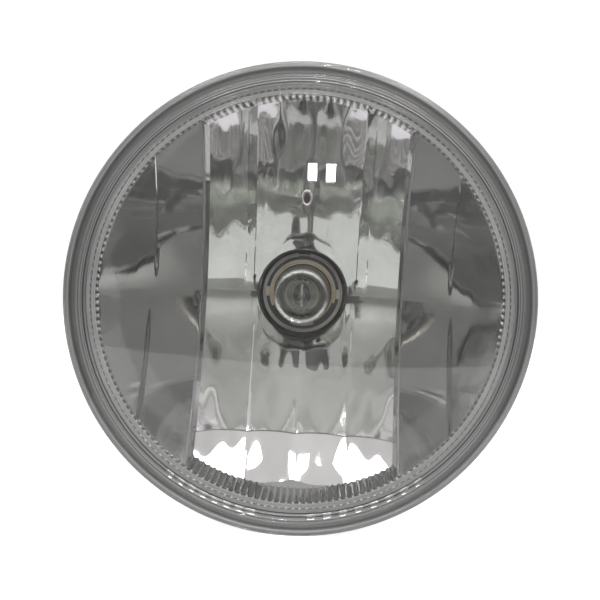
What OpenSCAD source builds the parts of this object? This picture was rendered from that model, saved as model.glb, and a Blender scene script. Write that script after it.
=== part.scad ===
// Round clear-lens fog light insert with a sectioned mirror and a twist-lock halogen bulb.
// Millimetres. The light shines towards -Y, +Z is up, and the origin is the centre of the
// rim's rear seating face. Angles run from +X towards +Z, as seen from the front.

/* [Rim] */
// Outside diameter of the rim that drops into the lamp housing
rim_d = 114.3; // [100:0.1:140]
// Width of the rim from its outside edge to the bowl's inner wall
rim_w = 7.55; // [6.5:0.05:11]
// Thickness of the reflector's flange, in front of the seating face
flange_t = 3; // [2:0.1:5]
// Number of locating lugs behind the flange
lug_count = 3; // [2:1:6]
// Width of a locating lug
lug_w = 7; // [4:0.5:12]
// Height of a locating lug behind the seating face
lug_h = 2.4; // [1:0.1:4]

/* [Lens] */
// Thickness of the sealant bead between lens and flange
sealant_t = 0.6; // [0.3:0.1:1.5]
// Thickness of the lens at its flat edge
lens_edge_t = 2.4; // [1.6:0.1:4]
// Thickness of the lens over its dome
lens_t = 3; // [2:0.1:4]
// Rise of the dome above its own edge
lens_rise = 6.5; // [3:0.1:12]
// Width of the flat ledge outside the step
ledge_w = 3.6; // [2.4:0.1:4]
// Height of the step from the ledge to the valley inside it
step_h = 0.9; // [0.4:0.1:2]
// Width of the raised bead around the dome
bead_w = 1.2; // [0.8:0.1:1.4]
// Width of the valley between the step and the bead
valley_w = 0.9; // [0.5:0.1:1.2]
// Depth of the chamfer on the outside edge
edge_chamfer = 0.6; // [0.2:0.1:1]

/* [Mirror] */
// Focal length of the deep section in the middle
centre_f = 22; // [18:0.5:26]
// Focal length of the shallow sections at the sides
side_f = 15; // [12:0.5:16.5]
// Width of the deep section
centre_w = 52; // [42:1:64]
// Distance from the seating face back to the mouth of the side sections
side_mouth = 2.5; // [1.5:0.5:8]
// Wall thickness of the moulded bowl
wall_t = 2.4; // [1.6:0.1:3.5]
// Thickness of the ribs behind the side sections
rib_t = 1.8; // [1.2:0.1:3]
// Angle between neighbouring ribs
rib_spread = 26; // [18:1:32]
// Diameter of the bulb hole in the mirror
hole_d = 23.4; // [19.5:0.1:28.1]

/* [Bulb socket] */
// Wall of the neck behind the bulb hole
neck_wall = 5.8; // [5:0.1:8]
// Distance the neck stands back from the mirror's deepest point
neck_rise = 2.5; // [2.4:0.1:6]
// Thickness of the gasket under the socket ring
gasket_t = 0.8; // [0.5:0.1:2]
// Depth of the chamber that the bulb's lugs turn in
chamber_t = 2.4; // [2:0.1:4]
// Thickness of the lip that the lugs lock behind
lip_t = 2; // [1.4:0.1:3]
// Depth of the seat for the sealing ring
seal_seat_t = 1.8; // [1.4:0.1:3]
// Diameter of the screws that hold the socket ring
screw_d = 2.6; // [2:0.1:3.5]
// Length of thread in the boss
screw_grip = 4.4; // [3:0.1:6]
// Angle that unlocks the bulb
unlock_angle = 40; // [30:1:45]

/* [Vent] */
// Distance of the vent above the lamp's axis
vent_z = 25.5; // [22:0.5:32]
// Width of the vent slot in the mirror
vent_w = 1.8; // [1:0.1:3]
// Height of the vent slot in the mirror
vent_h = 3.2; // [2:0.1:4]
// Outside diameter of the vent spigot
spigot_d = 6.4; // [5.4:0.1:8]
// Length of the vent spigot inside its cap
spigot_l = 3.8; // [3:0.2:8]
// Wall of the rubber vent cap
cap_wall = 1.3; // [0.8:0.1:2]
// Distance between the vent cap and the bowl
cap_gap = 0.4; // [0.2:0.1:1]

/* [Bulb] */
// Diameter of the glass envelope
glass_d = 14; // [11.5:0.1:14.4]
// Wall of the glass envelope
glass_t = 0.9; // [0.7:0.1:1.5]
// Distance from the filament's middle to the front of the straight glass
glass_front = 6.4; // [5:0.1:12]
// Distance from the filament's middle to the rear of the straight glass
glass_rear = 9; // [7:0.1:11]
// Width of the flat pinch seal
pinch_w = 10.4; // [8.6:0.1:11]
// Thickness of the flat pinch seal
pinch_t = 3.6; // [3:0.1:5]
// Diameter of the filament coil
filament_d = 1.6; // [1:0.1:2.4]
// Length of the filament coil
filament_l = 5; // [4:0.1:8]
// Distance of each lead above or below the bulb's axis
lead_z = 2.8; // [2.2:0.1:3.2]
// Diameter of a lead wire
lead_d = 0.7; // [0.5:0.05:0.8]
// Width of a seal foil
foil_w = 2; // [1.2:0.1:2.6]
// Thickness of a seal foil
foil_t = 0.2; // [0.1:0.05:0.3]

/* [Bulb base] */
// Diameter of the metal collar around the pinch
collar_d = 15; // [14:0.1:16.4]
// Wall of the metal collar
collar_t = 0.6; // [0.4:0.1:1]
// Distance the collar stands in front of the base
collar_l = 9; // [6:0.5:10]
// Diameter of the barrel that enters the socket ring
barrel_d = 21.8; // [20:0.1:24.5]
// Width of the index notch at the top of the barrel's front edge
notch_w = 3.3; // [2:0.1:5]
// Depth of the index notch
notch_h = 1; // [0.4:0.1:1.6]
// Depth of the two recesses low in the barrel's front face
recess_l = 1.6; // [0.8:0.1:2.4]
// Distance the clamp's ears reach from the bulb's axis
ear_reach = 9.2; // [8.6:0.1:9.8]
// Distance each lug stands out from the barrel
lug_out = 2; // [1.4:0.1:2.6]
// Thickness of a bulb lug
lug_t = 1.8; // [1.4:0.1:1.9]
// Distance the lugs are set back from the barrel's front face
lug_setback = 0.4; // [0.2:0.1:1]
// Cross-section diameter of the sealing ring
seal_d = 1.7; // [1.4:0.1:2.2]
// Distance the flange reaches out past the sealing ring
flange_over = 2.2; // [1:0.1:4]
// Thickness of the base's flange
base_flange_t = 2; // [1.4:0.1:3]

/* [Connector] */
// Inside width of the plug cavity
cavity_w = 15; // [13:0.5:18]
// Inside thickness of the plug cavity
cavity_t = 9; // [7.5:0.5:12]
// Depth of the plug cavity
cavity_l = 15; // [11:0.5:20]
// Wall of the connector shroud
shroud_t = 1.6; // [1.2:0.1:2.5]
// Width of a blade terminal
blade_w = 4.8; // [3.5:0.1:6.3]
// Thickness of a blade terminal
blade_t = 0.8; // [0.5:0.1:1]
// Distance of each blade from the connector's middle
blade_x = 3.9; // [3.4:0.1:5]
// Distance the blade tips stay inside the mouth
blade_recess = 4.6; // [4.2:0.1:5.5]

/* [Clearances] */
// Radial clearance between the barrel and the lip of the socket ring
barrel_gap = 0.4; // [0.2:0.05:0.6]
// Radial clearance around the lugs in their chamber
chamber_gap = 0.4; // [0.2:0.05:0.6]
// Distance between the locked lugs and the lip
lug_gap = 0.12; // [0.08:0.02:0.2]
// Radial clearance of the sealing ring in its seat
seal_gap = 0.05; // [0.02:0.01:0.1]
// Distance between the base's flange and the socket ring
flange_gap = 0.3; // [0.2:0.05:0.6]
// Radial clearance around screws and leads in their holes
hole_gap = 0.1; // [0.05:0.01:0.2]

/* [Hidden] */
$fn = 96;

// Overlap that lets a cut run clean through a face
cut = 1;
// Segments in each curved outline
curve_steps = 20;

// Rim and bowl
rim_r = rim_d / 2;
bowl_r = rim_r - rim_w;
shell_r = bowl_r + wall_t;

// Lens, from the flange forwards
lens_back = -flange_t - sealant_t;
ledge_y = lens_back - lens_edge_t;
valley_y = ledge_y - step_h;
step_r = rim_r - ledge_w;
bead_r = step_r - valley_w - bead_w / 2;
dome_r = bead_r - bead_w / 2;
dome_top = valley_y - lens_rise;
dome_sphere = (dome_r * dome_r + lens_rise * lens_rise) / (2 * lens_rise);

// Mirror: both kinds of section share one focus
focus_y = side_mouth + bowl_r * bowl_r / (4 * side_f) - side_f;
centre_top = focus_y + centre_f;
side_top = focus_y + side_f;

// Bulb socket, from the mirror backwards
hole_r = hole_d / 2;
neck_y = centre_top + neck_rise;
neck_r = hole_r + neck_wall;
ring_y = neck_y + gasket_t;
lip_y = ring_y + chamber_t;
seat_y = lip_y + lip_t;
ring_end = seat_y + seal_seat_t;
barrel_r = barrel_d / 2;
lip_r = barrel_r + barrel_gap;
lug_r = barrel_r + lug_out;
chamber_r = lug_r + chamber_gap;
ear_r = screw_d + 1.6;
boss_r = neck_r + screw_d + 0.4;
screw_r = screw_d / 2;
head_r = screw_d * 0.95;
head_t = screw_d * 0.65;
ear_t = seat_y - ring_y;
screw_angles = [30, 150, 270];
// Angle and width of each slot that lets a bulb lug through
slots = [[90, 20], [228, 34], [318, 34]];
// Widening of each slot past its lug
slot_margin = 3;

// Vent
vent_y = centre_top - vent_z * vent_z / (4 * centre_f);
spigot_r = spigot_d / 2;
spigot_bore = max(vent_w, vent_h) / 2;
cap_r = spigot_r + cap_wall;
cap_start = bowl_back(vent_z - cap_r) + cap_gap;
spigot_end = cap_start + spigot_l;
cap_end = spigot_end + cap_wall;
vent_slit = 1.2;

// Bulb
glass_r = glass_d / 2;
glass_start = focus_y - glass_front;
glass_end = focus_y + glass_rear;
dome_l = glass_r * 0.85;
shoulder_l = glass_r * 0.5;
lug_y = lip_y - lug_t - lug_gap;
base_y = lug_y - lug_setback;
seal_seat_r = barrel_r + seal_d + seal_gap;
base_flange_y = ring_end + flange_gap;
base_flange_r = seal_seat_r + flange_over;
body_y = base_flange_y + base_flange_t;
collar_r = collar_d / 2;
collar_y = base_y - collar_l;
collar_bore = collar_r - collar_t;
pinch_start = glass_end + shoulder_l * 0.4;
pinch_end = base_y - 0.6;
foil_start = pinch_start + 2;
foil_end = pinch_end - 2.4;
lead_r = lead_d / 2;
support_y = glass_end - 2.4;
lead_reach = 0.6;

// Recesses in the barrel's front face: angle and width of each, and their two radii
recesses = [[228, 44], [318, 52]];
recess_in = collar_r + 0.6;
recess_out = barrel_r - 1.2;

// Connector, pointing down from the body
body_r = barrel_r + 0.8;
shroud_w = cavity_w + 2 * shroud_t;
shroud_th = cavity_t + 2 * shroud_t;
shroud_y = body_y + shroud_th / 2;
body_end = body_y + shroud_th;
cavity_top = -body_r + 1;
mouth_z = cavity_top - cavity_l;
blade_tip = mouth_z + blade_recess;
foot_y = shroud_y - blade_w / 2;
foot_h = 3 * lead_d;
tab_w = 6;
tab_t = 1.4;
// Grip wings: inset from the flange, thickness, and how far they stop short of the end
wing_inset = 0.7;
wing_t = 2.4;
wing_short = 3;

// Turns a profile drawn as [radius, y] about the lamp's axis.
module spin(profile) {
    rotate([-90, 0, 0])
        rotate_extrude()
            polygon(profile);
}

// Round bar along +Y from y0 to y1.
module bar(r, y0, y1) {
    translate([0, y0, 0])
        rotate([-90, 0, 0])
            cylinder(r = r, h = y1 - y0);
}

// Turns its children to an angle from +X towards +Z.
module at_angle(a) {
    rotate([0, -a, 0])
        children();
}

// Box given by its middle in x and z and its two ends in y.
module block(w, h, y0, y1, x = 0, z = 0) {
    translate([x - w / 2, y0, z - h / 2])
        cube([w, y1 - y0, h]);
}

// Ring sector between two radii, centred on an angle.
module sector(r0, r1, y0, y1, a, width) {
    half = width / 2;
    reach = (r1 + cut) / cos(half);
    at_angle(a)
        difference() {
            intersection() {
                bar(r1, y0, y1);
                rotate([-90, 0, 0])
                    translate([0, 0, y0])
                        linear_extrude(y1 - y0)
                            polygon([
                                [0, 0],
                                [reach * cos(half), reach * sin(half)],
                                [reach * cos(half), -reach * sin(half)]
                            ]);
            }
            bar(r0, y0 - cut, y1 + cut);
        }
}

// Straight wire between two points, with a rounded end at each.
module wire(p, q, r) {
    d = q - p;
    len = norm(d);
    translate(p)
        rotate([0, acos(d[2] / len), atan2(d[1], d[0])])
            cylinder(r = r, h = len, $fn = 24);
    for (end = [p, q])
        translate(end)
            sphere(r = r, $fn = 24);
}

// Points of a paraboloid about the lamp's axis, from the axis outwards.
function mirror_points(f, top) = [
    for (i = [0 : curve_steps])
        let (r = bowl_r * i / curve_steps)
        [r, top - r * r / (4 * f)]
];

// The same points moved back by the wall, square to the surface.
function shell_points(f, top) = [
    for (i = [0 : curve_steps])
        let (
            r = bowl_r * i / curve_steps,
            slope = r / (2 * f),
            unit = 1 / sqrt(1 + slope * slope)
        )
        [r + wall_t * slope * unit, top - r * r / (4 * f) + wall_t * unit]
];

// How far back the deep section's outside reaches at a distance from the axis.
function bowl_back(r) =
    let (slope = r / (2 * centre_f))
    centre_top - r * r / (4 * centre_f) + wall_t * sqrt(1 + slope * slope);

// Points of a dome of the lens, from its edge to its top.
function dome_points(r_edge, top, sphere_r) = [
    for (i = [curve_steps : -1 : 0])
        let (r = r_edge * i / curve_steps)
        [r, top + sphere_r - sqrt(sphere_r * sphere_r - r * r)]
];

// Hollow of one kind of mirror section, open to the front.
module mirror_hollow(f, top) {
    spin(concat(mirror_points(f, top), [[bowl_r, -flange_t - cut], [0, -flange_t - cut]]));
}

// Outside of one kind of mirror section.
module mirror_shell(f, top) {
    mouth = top - bowl_r * bowl_r / (4 * f);
    spin(concat(shell_points(f, top), [[shell_r, mouth], [shell_r, -flange_t], [0, -flange_t]]));
}

module lens() {
    bead_top = valley_y - bead_w / 2;
    inner_edge = bowl_r - 0.4;
    inner_top = dome_top + lens_t;
    inner_sphere = dome_sphere - lens_t;
    lip = 0.25;
    outline = concat(
        [
            [0, inner_top], [0, dome_top]
        ],
        [for (i = [curve_steps : -1 : 0]) dome_points(dome_r, dome_top, dome_sphere)[i]],
        [
            for (i = [0 : 8])
                let (a = 180 - i * 22.5)
                [bead_r + bead_w / 2 * cos(a), valley_y - bead_w / 2 * sin(a)]
        ],
        [
            [step_r - lip, valley_y],
            [step_r - lip / 2, valley_y - lip],
            [step_r + lip, valley_y - lip / 2],
            [step_r + 2 * lip, ledge_y],
            [rim_r - edge_chamfer, ledge_y],
            [rim_r, ledge_y + edge_chamfer],
            [rim_r, lens_back],
            [bowl_r, lens_back]
        ],
        dome_points(inner_edge, inner_top, inner_sphere)
    );
    color([0.85, 0.88, 0.9, 0.35])
        spin([for (i = [1 : len(outline) - 1]) outline[i]]);
}

module lens_sealant() {
    inner = bowl_r + 1.4;
    outer = rim_r - 1.2;
    color([0.35, 0.35, 0.37])
        spin([
            [inner, lens_back], [outer, lens_back], [outer, -flange_t], [inner, -flange_t]
        ]);
}

// Ribs behind the shallow sections that stiffen the bowl.
module bowl_ribs() {
    root_r = hole_r + 2;
    for (side = [0, 180])
        for (turn = [-rib_spread, 0, rib_spread])
            at_angle(side + turn)
                translate([0, 0, -rib_t / 2])
                    linear_extrude(rib_t)
                        polygon([
                            [root_r, -flange_t / 2],
                            [shell_r, -flange_t / 2],
                            [shell_r, side_mouth + wall_t],
                            [neck_r, neck_y - 1],
                            [root_r, neck_y - 1]
                        ]);
}

module reflector() {
    slab_in = centre_w;
    slab_out = centre_w + 2 * wall_t;
    color([0.72, 0.73, 0.75])
        difference() {
            union() {
                // Flange, with locating lugs behind it
                bar(rim_r, -flange_t, 0);
                for (i = [0 : lug_count - 1])
                    at_angle(90 + i * 360 / lug_count)
                        block(rim_w * 0.6, lug_w, -cut, lug_h, x = rim_r - rim_w * 0.45);
                // Shell of the shallow side sections and the deep middle
                mirror_shell(side_f, side_top);
                intersection() {
                    mirror_shell(centre_f, centre_top);
                    block(slab_out, 2 * rim_d, -2 * rim_d, 2 * rim_d);
                }
                bowl_ribs();
                // Neck and screw bosses
                bar(neck_r, centre_top - neck_wall, neck_y);
                for (a = screw_angles)
                    at_angle(a)
                        translate([boss_r, 0, 0])
                            bar(ear_r, centre_top - 3 * neck_wall, neck_y);
                // Vent spigot
                translate([0, 0, vent_z])
                    bar(spigot_r, vent_y - cut, spigot_end);
            }
            // Mirror hollow
            mirror_hollow(side_f, side_top);
            intersection() {
                mirror_hollow(centre_f, centre_top);
                block(slab_in, 2 * rim_d, -2 * rim_d, 2 * rim_d);
            }
            // Bulb hole
            bar(hole_r, 0, neck_y + cut);
            // Pilot holes for the screws
            for (a = screw_angles)
                at_angle(a)
                    translate([boss_r, 0, 0])
                        bar(screw_r + hole_gap, neck_y - screw_grip - hole_gap, neck_y + cut);
            // Vent slot through the mirror and bore of the spigot
            translate([0, 0, vent_z]) {
                block(vent_w, vent_h - vent_w, 0, vent_y + wall_t);
                for (side = [-1, 1])
                    translate([0, 0, side * (vent_h - vent_w) / 2])
                        bar(vent_w / 2, 0, vent_y + wall_t);
                bar(spigot_bore, vent_y + wall_t - cut / 4, spigot_end + cut);
            }
        }
}

// Outline shared by the socket ring and its gasket.
module socket_plate(y0, y1) {
    bar(neck_r, y0, y1);
    for (a = screw_angles)
        at_angle(a) {
            translate([boss_r, 0, 0])
                bar(ear_r, y0, y1);
            block(boss_r - hole_r, 2 * ear_r, y0, y1, x = (boss_r + hole_r) / 2);
        }
}

// Holes for the screws through the socket ring and its gasket.
module screw_holes(y0, y1) {
    for (a = screw_angles)
        at_angle(a)
            translate([boss_r, 0, 0])
                bar(screw_r + hole_gap, y0, y1);
}

module socket_ring() {
    color([0.12, 0.12, 0.13])
        difference() {
            union() {
                socket_plate(ring_y, ring_y + ear_t);
                bar(neck_r, ring_y, ring_end);
            }
            bar(chamber_r, ring_y - cut, lip_y);
            bar(lip_r, ring_y, ring_end);
            bar(seal_seat_r, seat_y, ring_end + cut);
            for (slot = slots)
                sector(lip_r - cut, chamber_r, lip_y - cut, seat_y + cut, slot[0],
                    slot[1] + 2 * slot_margin);
            screw_holes(ring_y - cut, ring_end + cut);
        }
}

module socket_gasket() {
    color([0.2, 0.2, 0.2])
        difference() {
            socket_plate(neck_y, ring_y);
            bar(chamber_r, neck_y - cut, ring_y + cut);
            screw_holes(neck_y - cut, ring_y + cut);
        }
}

module socket_screws() {
    head_y = ring_y + ear_t;
    color([0.75, 0.75, 0.77])
        for (a = screw_angles)
            at_angle(a)
                translate([boss_r, 0, 0])
                    difference() {
                        union() {
                            bar(screw_r, neck_y - screw_grip, head_y);
                            bar(head_r, head_y, head_y + head_t);
                        }
                        for (turn = [0, 90])
                            rotate([0, turn, 0])
                                block(head_r, head_t * 0.35, head_y + head_t / 2,
                                    head_y + head_t + cut);
                    }
}

module vent_cap() {
    color([0.45, 0.06, 0.07])
        translate([0, 0, vent_z])
            difference() {
                bar(cap_r, cap_start, cap_end);
                bar(spigot_r, cap_start - cut, spigot_end);
                block(vent_slit, spigot_d, spigot_end - cut, cap_end + cut, z = -spigot_r);
            }
}

module vent_filter() {
    filter_t = spigot_bore * 1.4;
    color([0.4, 0.05, 0.06])
        translate([0, 0, vent_z])
            bar(spigot_bore - hole_gap / 2, vent_y + wall_t + 0.4, vent_y + wall_t + filter_t);
}

// Everything sealed into the flat pinch, as cut from the glass around it.
module sealed_pieces() {
    for (side = [-1, 1]) {
        support_lead(side);
        seal_foil(side);
        pin_lead(side);
    }
}

module bulb_glass() {
    nose = [
        for (i = [0 : curve_steps])
            let (a = 90 * i / curve_steps)
            [glass_r * sin(a), glass_start - dome_l * cos(a)]
    ];
    inner_r = glass_r - glass_t;
    inner_nose = [
        for (i = [0 : curve_steps])
            let (a = 90 * i / curve_steps)
            [inner_r * sin(a), glass_start - (dome_l - glass_t) * cos(a)]
    ];
    color([0.9, 0.93, 0.95, 0.35])
        difference() {
            union() {
                spin(concat(nose, [
                    [glass_r, glass_end], [pinch_t / 2, glass_end + shoulder_l],
                    [0, glass_end + shoulder_l]
                ]));
                block(pinch_t, pinch_w, pinch_start, pinch_end);
            }
            spin(concat(inner_nose, [
                [inner_r, glass_end - glass_t], [0, glass_end - glass_t]
            ]));
            sealed_pieces();
        }
}

module filament() {
    color([0.55, 0.55, 0.58])
        difference() {
            bar(filament_d / 2, focus_y - filament_l / 2, focus_y + filament_l / 2);
            bar(filament_d / 4, focus_y - filament_l, focus_y + filament_l);
        }
}

// Lead from a seal foil to one end of the filament: the lower one holds the rear end and the
// upper one passes beside the coil to its front end.
module support_lead(side) {
    tip_y = focus_y - side * (filament_l / 2 + lead_r);
    knee_y = side < 0 ? (support_y + tip_y) / 2 : tip_y;
    foot = [0, foil_start + lead_reach, side * lead_z];
    knee = [0, knee_y, side * lead_z];
    difference() {
        union() {
            wire(foot, knee, lead_r);
            wire(knee, [0, tip_y, 0], lead_r);
        }
        seal_foil(side);
    }
}

module support_lead_lower() {
    color([0.6, 0.6, 0.62])
        support_lead(-1);
}

module support_lead_upper() {
    color([0.6, 0.6, 0.62])
        support_lead(1);
}

module seal_foil(side) {
    block(foil_t, foil_w, foil_start, foil_end, z = side * lead_z);
}

module seal_foil_lower() {
    color([0.5, 0.5, 0.52])
        seal_foil(-1);
}

module seal_foil_upper() {
    color([0.5, 0.5, 0.52])
        seal_foil(1);
}

// Lead from a seal foil back to the foot of its blade terminal.
module pin_lead(side) {
    difference() {
        translate([0, 0, side * lead_z])
            bar(lead_r, foil_end - lead_reach, foot_y);
        seal_foil(side);
    }
}

module pin_lead_lower() {
    color([0.6, 0.6, 0.62])
        pin_lead(-1);
}

module pin_lead_upper() {
    color([0.6, 0.6, 0.62])
        pin_lead(1);
}

module bulb_collar() {
    color([0.78, 0.78, 0.8])
        difference() {
            bar(collar_r, collar_y, base_y + 3);
            bar(collar_bore, collar_y - cut, base_y + 3 + cut);
        }
}

module collar_clamp() {
    clamp_t = 1;
    ring_out = collar_r + 0.9;
    color([0.62, 0.5, 0.32])
        difference() {
            union() {
                bar(ring_out, base_y - clamp_t, base_y);
                block(2 * ear_reach, 2.2, base_y - clamp_t, base_y);
            }
            bar(collar_r, base_y - clamp_t - cut, base_y + cut);
        }
}

// Hollow of the base behind the collar, where the cement sets.
module cement_space(y0) {
    bar(collar_bore, y0, body_y);
}

module bulb_base() {
    lip_ring = barrel_r - 0.9;
    color([0.1, 0.1, 0.11])
        difference() {
            union() {
                // Barrel with lugs, seal groove and flange
                bar(barrel_r, base_y, base_flange_y + cut / 2);
                for (slot = slots)
                    sector(barrel_r - cut, lug_r, lug_y, lug_y + lug_t, slot[0] + unlock_angle,
                        slot[1]);
                bar(base_flange_r, base_flange_y, body_y);
                // Body and connector shroud, pointing down
                bar(body_r, body_y - cut / 2, body_end);
                block(shroud_w, -mouth_z, body_y, body_end, z = mouth_z / 2);
                // Grip wings for turning the bulb
                block(2 * (base_flange_r - wing_inset), wing_t, body_y - cut / 2,
                    body_end - wing_short);
                // Latch for the plug, on the rear of the shroud
                block(tab_w, 3.2, body_end - cut / 2, body_end + tab_t, z = mouth_z + 5);
            }
            bar(collar_r, base_y - cut, base_y + 3);
            cement_space(base_y);
            translate([-cavity_w / 2, shroud_y - cavity_t / 2, mouth_z - cut])
                cube([cavity_w, cavity_t, cavity_l + cut]);
            for (side = [-1, 1]) {
                terminal(side);
                pin_lead(side);
            }
            // Shallow dish around the collar, which leaves a lip at the barrel's front edge
            difference() {
                bar(lip_ring, base_y - cut, base_y + 0.6);
                bar(collar_r + 1.6, base_y - cut, base_y + 0.6);
                block(2 * barrel_r, 2.6, base_y - cut, base_y + 0.6);
            }
            // Index notch at the top and the two recesses low in the front face
            block(notch_w, 2 * notch_h, base_y - cut, lug_y, z = barrel_r);
            for (recess = recesses)
                sector(recess_in, recess_out, base_y - cut, base_y + recess_l, recess[0],
                    recess[1]);
        }
}

module base_cement() {
    color([0.82, 0.8, 0.74])
        difference() {
            cement_space(base_y - collar_l / 3);
            block(pinch_t, pinch_w, pinch_start, pinch_end);
            for (side = [-1, 1])
                pin_lead(side);
        }
}

module bulb_seal_ring() {
    middle = barrel_r + seal_d / 2;
    color([0.45, 0.2, 0.12])
        translate([0, seat_y + seal_seat_t / 2, 0])
            rotate([-90, 0, 0])
                rotate_extrude()
                    translate([middle, 0])
                        circle(d = seal_d, $fn = 32);
}

// Blade that stands in the plug cavity, with a foot inside the body that meets its lead: the
// left blade reaches the lower lead and the right blade the upper one.
module terminal(side) {
    foot_z = side * lead_z;
    foot_w = blade_x + lead_d;
    translate([side * blade_x - blade_t / 2, foot_y, blade_tip])
        cube([blade_t, blade_w, foot_z + foot_h / 2 - blade_tip]);
    block(foot_w, foot_h, foot_y, foot_y + blade_w, x = side * (blade_x - foot_w / 2),
        z = foot_z);
}

module terminal_left() {
    color([0.8, 0.72, 0.5])
        terminal(-1);
}

module terminal_right() {
    color([0.8, 0.72, 0.5])
        terminal(1);
}

lens();
lens_sealant();
reflector();
socket_ring();
socket_gasket();
socket_screws();
vent_cap();
vent_filter();
bulb_glass();
filament();
support_lead_lower();
support_lead_upper();
seal_foil_lower();
seal_foil_upper();
pin_lead_lower();
pin_lead_upper();
bulb_collar();
collar_clamp();
bulb_base();
base_cement();
bulb_seal_ring();
terminal_left();
terminal_right();
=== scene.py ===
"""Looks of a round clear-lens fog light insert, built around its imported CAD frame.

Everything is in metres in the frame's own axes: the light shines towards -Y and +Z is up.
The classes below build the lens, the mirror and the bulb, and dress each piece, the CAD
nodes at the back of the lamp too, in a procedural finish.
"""

import logging
import math
from dataclasses import dataclass, field
from enum import Enum

import bmesh
import bpy
from mathutils import Matrix, Vector


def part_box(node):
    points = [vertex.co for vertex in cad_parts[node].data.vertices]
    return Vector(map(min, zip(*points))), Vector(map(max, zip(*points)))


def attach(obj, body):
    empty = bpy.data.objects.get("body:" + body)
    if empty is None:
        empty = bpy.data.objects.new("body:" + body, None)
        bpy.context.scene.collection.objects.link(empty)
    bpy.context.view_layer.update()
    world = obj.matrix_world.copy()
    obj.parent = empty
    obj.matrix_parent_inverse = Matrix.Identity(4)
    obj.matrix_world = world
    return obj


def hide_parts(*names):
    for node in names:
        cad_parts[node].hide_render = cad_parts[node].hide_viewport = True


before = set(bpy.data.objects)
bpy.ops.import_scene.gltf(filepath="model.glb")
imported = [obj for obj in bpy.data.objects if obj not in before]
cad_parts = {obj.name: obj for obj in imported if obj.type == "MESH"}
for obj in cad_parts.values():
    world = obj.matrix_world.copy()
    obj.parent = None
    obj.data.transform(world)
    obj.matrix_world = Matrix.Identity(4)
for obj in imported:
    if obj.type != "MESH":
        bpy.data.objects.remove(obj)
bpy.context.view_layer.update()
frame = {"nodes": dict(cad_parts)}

MM = 0.001
AXIS = Vector((0.0, 1.0, 0.0))
ORIGIN = Vector((0.0, 0.0, 0.0))
log = logging.getLogger("fog_light")

Profile = list[tuple[float, float]]
Colour = tuple[float, float, float]


class Half(Enum):
    """The half of the mirror above or below the lamp's axis."""

    UPPER = 1.0
    LOWER = -1.0


def ease(part: float) -> float:
    """Smooth rise from 0 to 1, held level past either end of the part it is given."""
    part = min(max(part, 0.0), 1.0)
    return part * part * (3.0 - 2.0 * part)


# --------------------------------------------------------------------------- meshes


def arc(
    centre: tuple[float, float], radius: float, start: float, end: float, steps: int
) -> Profile:
    """Points on an arc in a profile's own plane.

    Args:
        centre: Radius and y of the arc's centre.
        radius: The arc's radius.
        start: First angle in degrees, from outwards towards +Y.
        end: Last angle in degrees.
        steps: Number of segments.

    Returns:
        The points, from the first angle to the last.
    """
    points = []
    for i in range(steps + 1):
        a = math.radians(start + (end - start) * i / steps)
        points.append((centre[0] + radius * math.cos(a), centre[1] + radius * math.sin(a)))
    return points


def lathe(profile: Profile, closed: bool, steps: int = 192) -> bmesh.types.BMesh:
    """Turns a profile of (radius, y) points about the lamp's axis.

    Args:
        profile: The points, in order.
        closed: Whether the last point joins the first.
        steps: Number of segments round the axis.

    Returns:
        The turned shape, with its doubles merged and its normals outwards.
    """
    bm = bmesh.new()
    verts = [bm.verts.new((r, y, 0.0)) for r, y in profile]
    pairs = list(zip(verts, verts[1:]))
    if closed:
        pairs.append((verts[-1], verts[0]))
    edges = [bm.edges.new(pair) for pair in pairs]
    bmesh.ops.spin(
        bm, geom=verts + edges, cent=ORIGIN, axis=AXIS, angle=math.tau, steps=steps, use_merge=True
    )
    bmesh.ops.remove_doubles(bm, verts=bm.verts, dist=1e-7)
    bmesh.ops.recalc_face_normals(bm, faces=bm.faces)
    return bm


def shift(bm: bmesh.types.BMesh, y: float = 0.0, z: float = 0.0) -> bmesh.types.BMesh:
    """Moves a whole mesh.

    Args:
        bm: The mesh.
        y: Distance along Y.
        z: Distance along Z.

    Returns:
        The same mesh.
    """
    bmesh.ops.translate(bm, verts=bm.verts, vec=(0.0, y, z))
    return bm


def join(parts: list[bmesh.types.BMesh]) -> bmesh.types.BMesh:
    """Puts several meshes into one.

    Args:
        parts: The meshes, which are freed.

    Returns:
        A mesh that holds them all.
    """
    whole = bmesh.new()
    for part in parts:
        scrap = bpy.data.meshes.new("scrap")
        part.to_mesh(scrap)
        part.free()
        whole.from_mesh(scrap)
        bpy.data.meshes.remove(scrap)
    return whole


def soft_box(size: Vector, centre: Vector, radius: float, segments: int = 3) -> bmesh.types.BMesh:
    """A box with rounded edges.

    Args:
        size: Its three sizes.
        centre: Its middle.
        radius: The rounding of its edges.
        segments: Segments in each rounding.

    Returns:
        The box.
    """
    bm = bmesh.new()
    bmesh.ops.create_cube(bm, size=1.0)
    bmesh.ops.scale(bm, vec=size, verts=bm.verts)
    bmesh.ops.translate(bm, vec=centre, verts=bm.verts)
    bmesh.ops.bevel(
        bm, geom=bm.edges, offset=radius, offset_type="OFFSET", affect="EDGES",
        segments=segments, profile=0.5, material=-1,
    )
    return bm


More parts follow.
